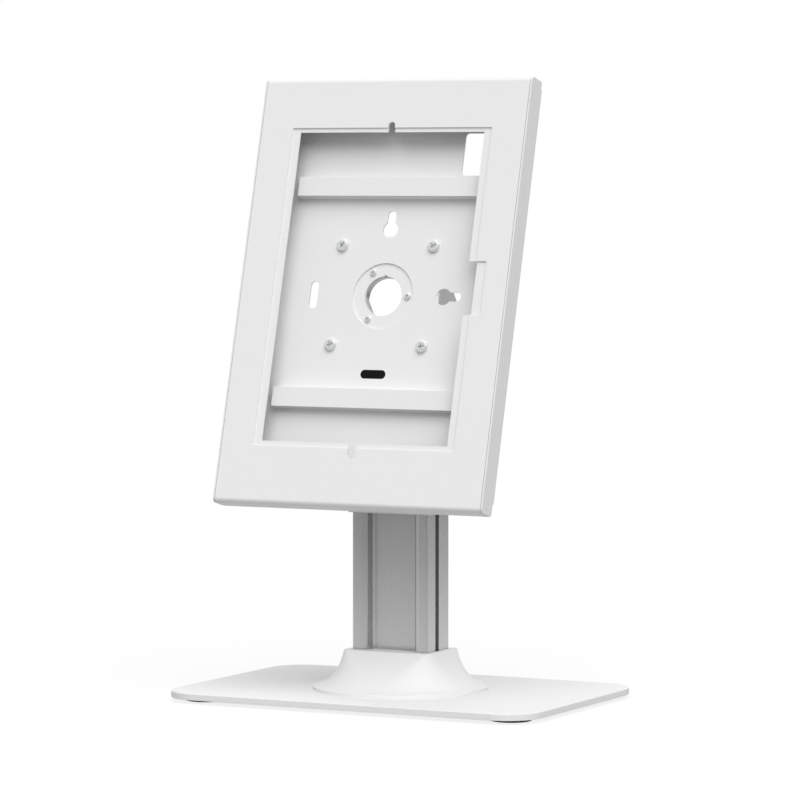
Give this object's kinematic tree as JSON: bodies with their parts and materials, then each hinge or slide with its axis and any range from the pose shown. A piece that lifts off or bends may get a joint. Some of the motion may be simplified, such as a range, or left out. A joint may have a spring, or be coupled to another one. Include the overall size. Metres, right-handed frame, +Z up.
{
  "type": "tablet kiosk stand",
  "caption": "Desk stand with a slotted column on a weighted base, and a lockable tablet enclosure that slides in height, tilts, turns from portrait to landscape and opens at its front cover.",
  "frame": {"origin": "centre of the base plate's footprint, on the surface that the rubber feet stand on", "axes": "+Z up, -Y toward the person who uses the tablet, +X to that person's right"},
  "size_m": [0.3, 0.2, 0.4582],
  "materials": {
    "white_coat": "fine satin powder coat, off-white",
    "silver_anodised": "satin silver anodised",
    "zinc_steel": "zinc-plated, slightly dull",
    "black_steel": "black oxide, semi-matt",
    "bright_aluminium": "turned, lightly polished",
    "foot_rubber": "matt rubber",
    "grey_plastic": "moulded, matt",
    "black_plastic": "moulded, matt",
    "nylon": "smooth natural nylon",
    "white_foam": "fine closed-cell foam strip",
    "grey_foam": "closed-cell foam block"
  },
  "bodies": {
    "base": {"base_plate": "white_coat", "rubber_feet": "foot_rubber", "column": "silver_anodised", "column_screws": "zinc_steel", "column_cap": "grey_plastic"},
    "collar": {"collar": "white_coat"},
    "carriage": {"carriage": "white_coat", "clamp_screws": "black_steel", "t_nuts": "zinc_steel", "spacer_tube": "zinc_steel", "tilt_bolt": "zinc_steel", "tilt_nut": "zinc_steel", "tilt_washers": "zinc_steel", "friction_washers": "nylon", "stop_screws": "zinc_steel"},
    "yoke": {"tilt_yoke": "white_coat", "turn_washer": "nylon", "turn_stop_pin": "zinc_steel"},
    "enclosure": {"pivot_hub": "bright_aluminium", "vesa_plate": "white_coat", "hub_screws": "zinc_steel", "vesa_screws": "zinc_steel", "back_housing": "white_coat", "rail_upper": "white_coat", "rail_lower": "white_coat", "rail_foam": "white_foam", "slot_plug": "black_plastic"},
    "cover": {"front_cover": "white_coat", "inner_frame": "white_coat", "frame_nuts": "zinc_steel", "tablet_pads": "grey_foam", "cover_screws": "zinc_steel", "cover_spacers": "zinc_steel", "clamp_nuts": "zinc_steel"}
  },
  "joints": [
    {"name": "carriage_height", "type": "slide", "parent": "base", "child": "carriage", "axis": [0, 0, 1], "range_m": [-0.038, 0.008]},
    {"name": "collar_lift", "type": "slide", "parent": "base", "child": "collar", "axis": [0, 0, 1], "range_m": [0, 0.03]},
    {"name": "tilt", "type": "hinge", "parent": "carriage", "child": "yoke", "pos_m": [0, 0.004, 0.264], "axis": [-1, 0, 0], "range_deg": [-15, 45]},
    {"name": "panel_turn", "type": "hinge", "parent": "yoke", "child": "enclosure", "pos_m": [0, -0.04639, 0.3039], "axis": [0, -0.9659, 0.2588], "range_deg": [0, 90]},
    {"name": "cover_open", "type": "hinge", "parent": "enclosure", "child": "cover", "pos_m": [0, -0.07431, 0.14947], "axis": [1, 0, 0], "range_deg": [0, 90]}
  ]
}
